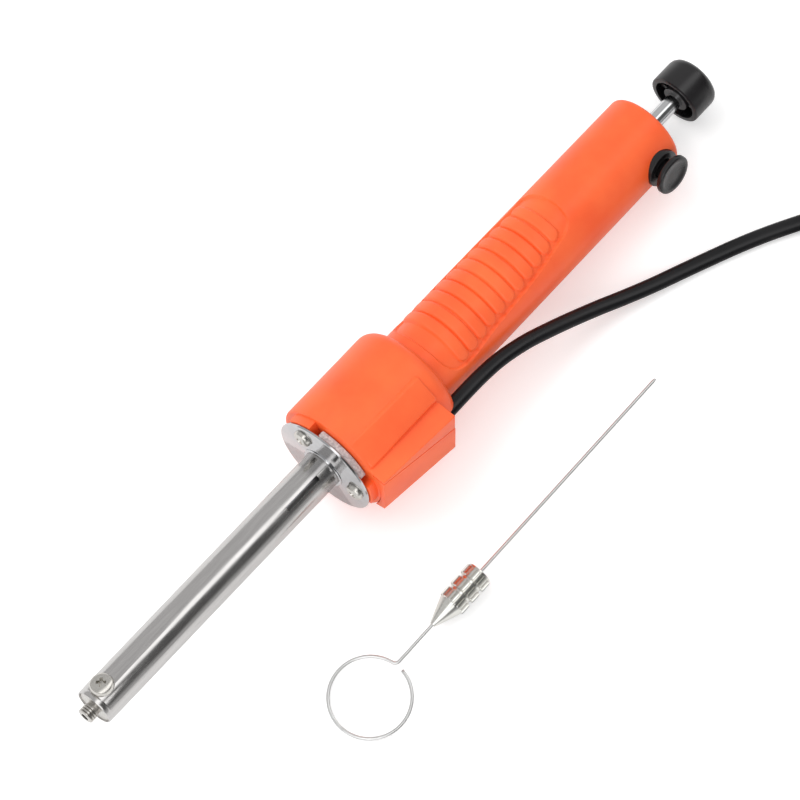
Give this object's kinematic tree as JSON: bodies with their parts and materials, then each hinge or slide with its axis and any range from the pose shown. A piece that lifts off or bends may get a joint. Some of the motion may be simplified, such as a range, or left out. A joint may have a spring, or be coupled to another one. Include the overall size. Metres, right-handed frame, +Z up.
{
  "type": "desoldering_iron",
  "caption": "Mains desoldering iron with a spring vacuum pump in the handle, release button, screw-on nozzle, cleaning needle and cord with plug",
  "frame": {"origin": "point of the cover's flat foot on the table, straight below the iron's axis", "axes": "+X towards the plunger knob along the table, +Z up from the table, -Y towards the terminal housing, button and cord"},
  "size_m": [0.2952, 0.148, 0.0392],
  "materials": {
    "chrome_steel": "satin",
    "polished_steel": "polished",
    "screw_steel": "satin",
    "woven_insulation": "matt",
    "plated_brass": "satin",
    "inner_steel": "satin",
    "ceramic": "matt",
    "heating_wire": "satin",
    "mica": "matt",
    "glass_sleeving": "matt",
    "orange_plastic": "semi_gloss",
    "white_plastic": "satin",
    "brass": "satin",
    "core_insulation": "satin",
    "black_plastic": "semi_gloss",
    "aluminium": "satin",
    "rubber": "matt",
    "rod_steel": "polished",
    "spring_steel": "satin",
    "nozzle_steel": "satin",
    "needle_steel": "polished",
    "cord_pvc": "satin",
    "tie_paper": "matt",
    "pin_metal": "polished"
  },
  "bodies": {
    "iron": {"barrel": "chrome_steel", "mounting_flange": "polished_steel", "flange_screws": "screw_steel", "flange_gasket": "woven_insulation", "nozzle_seat": "plated_brass", "tip_screw": "screw_steel", "suction_tube": "inner_steel", "heater_core": "ceramic", "heater_winding": "heating_wire", "heater_sleeve": "mica", "heater_leads": "glass_sleeving", "handle": "orange_plastic", "terminal_cover": "orange_plastic", "cover_screws": "screw_steel", "terminal_block": "white_plastic", "terminal_inserts": "brass", "terminal_screws": "screw_steel", "cord_cores": "core_insulation", "cord_clamp": "black_plastic", "clamp_screw": "screw_steel", "pump_cylinder": "aluminium", "front_plug": "brass", "front_seal": "rubber", "main_spring": "spring_steel", "rear_bush": "black_plastic", "button_collar": "black_plastic", "button_spring": "spring_steel", "cord": "cord_pvc", "cord_coil": "cord_pvc", "cord_tie": "tie_paper", "plug_body": "cord_pvc", "plug_pins": "pin_metal"},
    "plunger": {"plunger_rod": "rod_steel", "piston": "white_plastic", "piston_seal": "rubber", "knob": "black_plastic"},
    "button": {"release_button": "black_plastic", "latch_plate": "spring_steel"},
    "needle": {"cleaning_needle": "needle_steel"},
    "nozzle": {"nozzle": "nozzle_steel"}
  },
  "joints": [
    {"name": "plunger_slide", "type": "slide", "parent": "iron", "child": "plunger", "axis": [0.9979, 0, -0.0645], "range_m": [-0.0015, 0.036], "deforming": ["main_spring"]},
    {"name": "button_press", "type": "slide", "parent": "iron", "child": "button", "axis": [-0.0178, 0.9613, -0.2751], "range_m": [0, 0.0022], "stiffness_N_per_m": 300, "springref_m": -0.002, "deforming": ["button_spring"]},
    {"name": "needle_lift", "type": "slide", "parent": "iron", "child": "needle", "axis": [0, 0, 1], "range_m": [0, 0.06]},
    {"name": "nozzle_slide", "type": "slide", "parent": "needle", "child": "nozzle", "axis": [0.9968, -0.0139, 0.079], "range_m": [-0.009, 0.075]}
  ]
}
